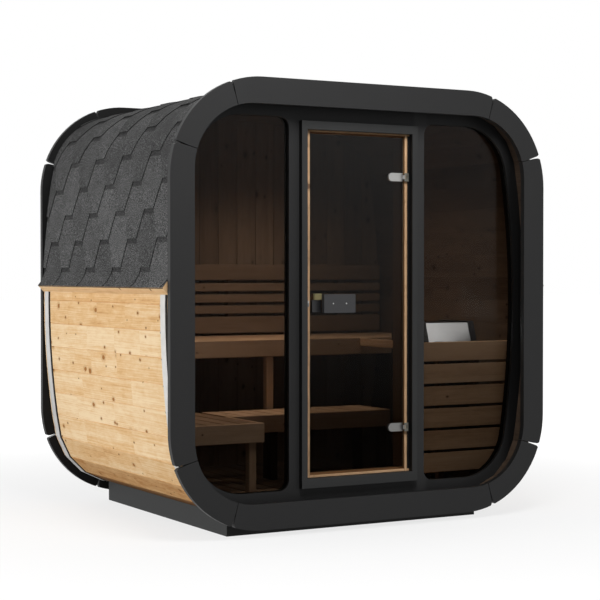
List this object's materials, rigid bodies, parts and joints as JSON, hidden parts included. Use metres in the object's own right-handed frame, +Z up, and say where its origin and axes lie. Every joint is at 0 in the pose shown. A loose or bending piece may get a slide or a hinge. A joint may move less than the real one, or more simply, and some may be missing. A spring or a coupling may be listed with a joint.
{
  "type": "cube sauna",
  "caption": "Square garden sauna with rounded corners, stave walls, shingled roof, dark fascia boards, glazed front and a glass door with benches and heater inside.",
  "frame": {"origin": "middle of the footprint, on the ground under the base beams", "axes": "+X to the right seen from the front, +Y from the glazed front to the back, +Z up"},
  "size_m": [2.13, 1.615, 2.103],
  "materials": {
    "wood": "planed, clear oiled",
    "pale_wood": "planed",
    "inner_wood": "planed",
    "bench_wood": "sanded",
    "paint": "matt charcoal stain",
    "base": "impregnated and stained dark",
    "strap": "galvanised",
    "shingle": "mineral granules on bitumen",
    "glass": "tinted toughened glass",
    "satin_steel": "satin",
    "heater_black": "satin black",
    "heater_steel": "satin",
    "handle_grey": "matt dark grey",
    "latch_plastic": "matt"
  },
  "bodies": {
    "cabin": {"right_staves": "wood", "upper_right_staves": "wood", "roof_staves": "wood", "upper_left_staves": "wood", "left_staves": "wood", "lower_left_staves": "wood", "floor_staves": "wood", "lower_right_staves": "wood", "front_fascia_rails": "paint", "front_fascia_sides": "paint", "front_fascia_corners": "paint", "back_fascia_rails": "paint", "back_fascia_sides": "paint", "back_fascia_corners": "paint", "base_side_beams": "base", "base_cross_beams": "base", "strap_front": "strap", "strap_back": "strap", "shingles_right": "shingle", "shingles_left": "shingle", "ridge_cap": "shingle", "eave_battens": "pale_wood", "front_wall_left": "paint", "front_wall_right": "paint", "front_wall_middle": "paint", "window_panes": "glass", "window_beads": "wood", "door_frame": "paint", "door_jamb": "pale_wood", "hinge_brackets": "satin_steel", "latch_catch": "satin_steel", "back_wall": "inner_wood", "floor_duckboard": "bench_wood", "upper_bench": "bench_wood", "lower_bench": "bench_wood", "backrest": "bench_wood", "heater_guard": "bench_wood", "heater_body": "heater_black", "heater_panel": "heater_steel"},
    "door": {"door_glass": "glass", "door_clamps": "satin_steel", "door_handle": "handle_grey", "latch_body": "handle_grey", "latch_grip": "latch_plastic"}
  },
  "joints": [
    {"name": "door_hinge", "type": "hinge", "parent": "cabin", "child": "door", "pos_m": [0.264, -0.7155, 0], "axis": [0, 0, 1], "range_deg": [0, 110]}
  ]
}
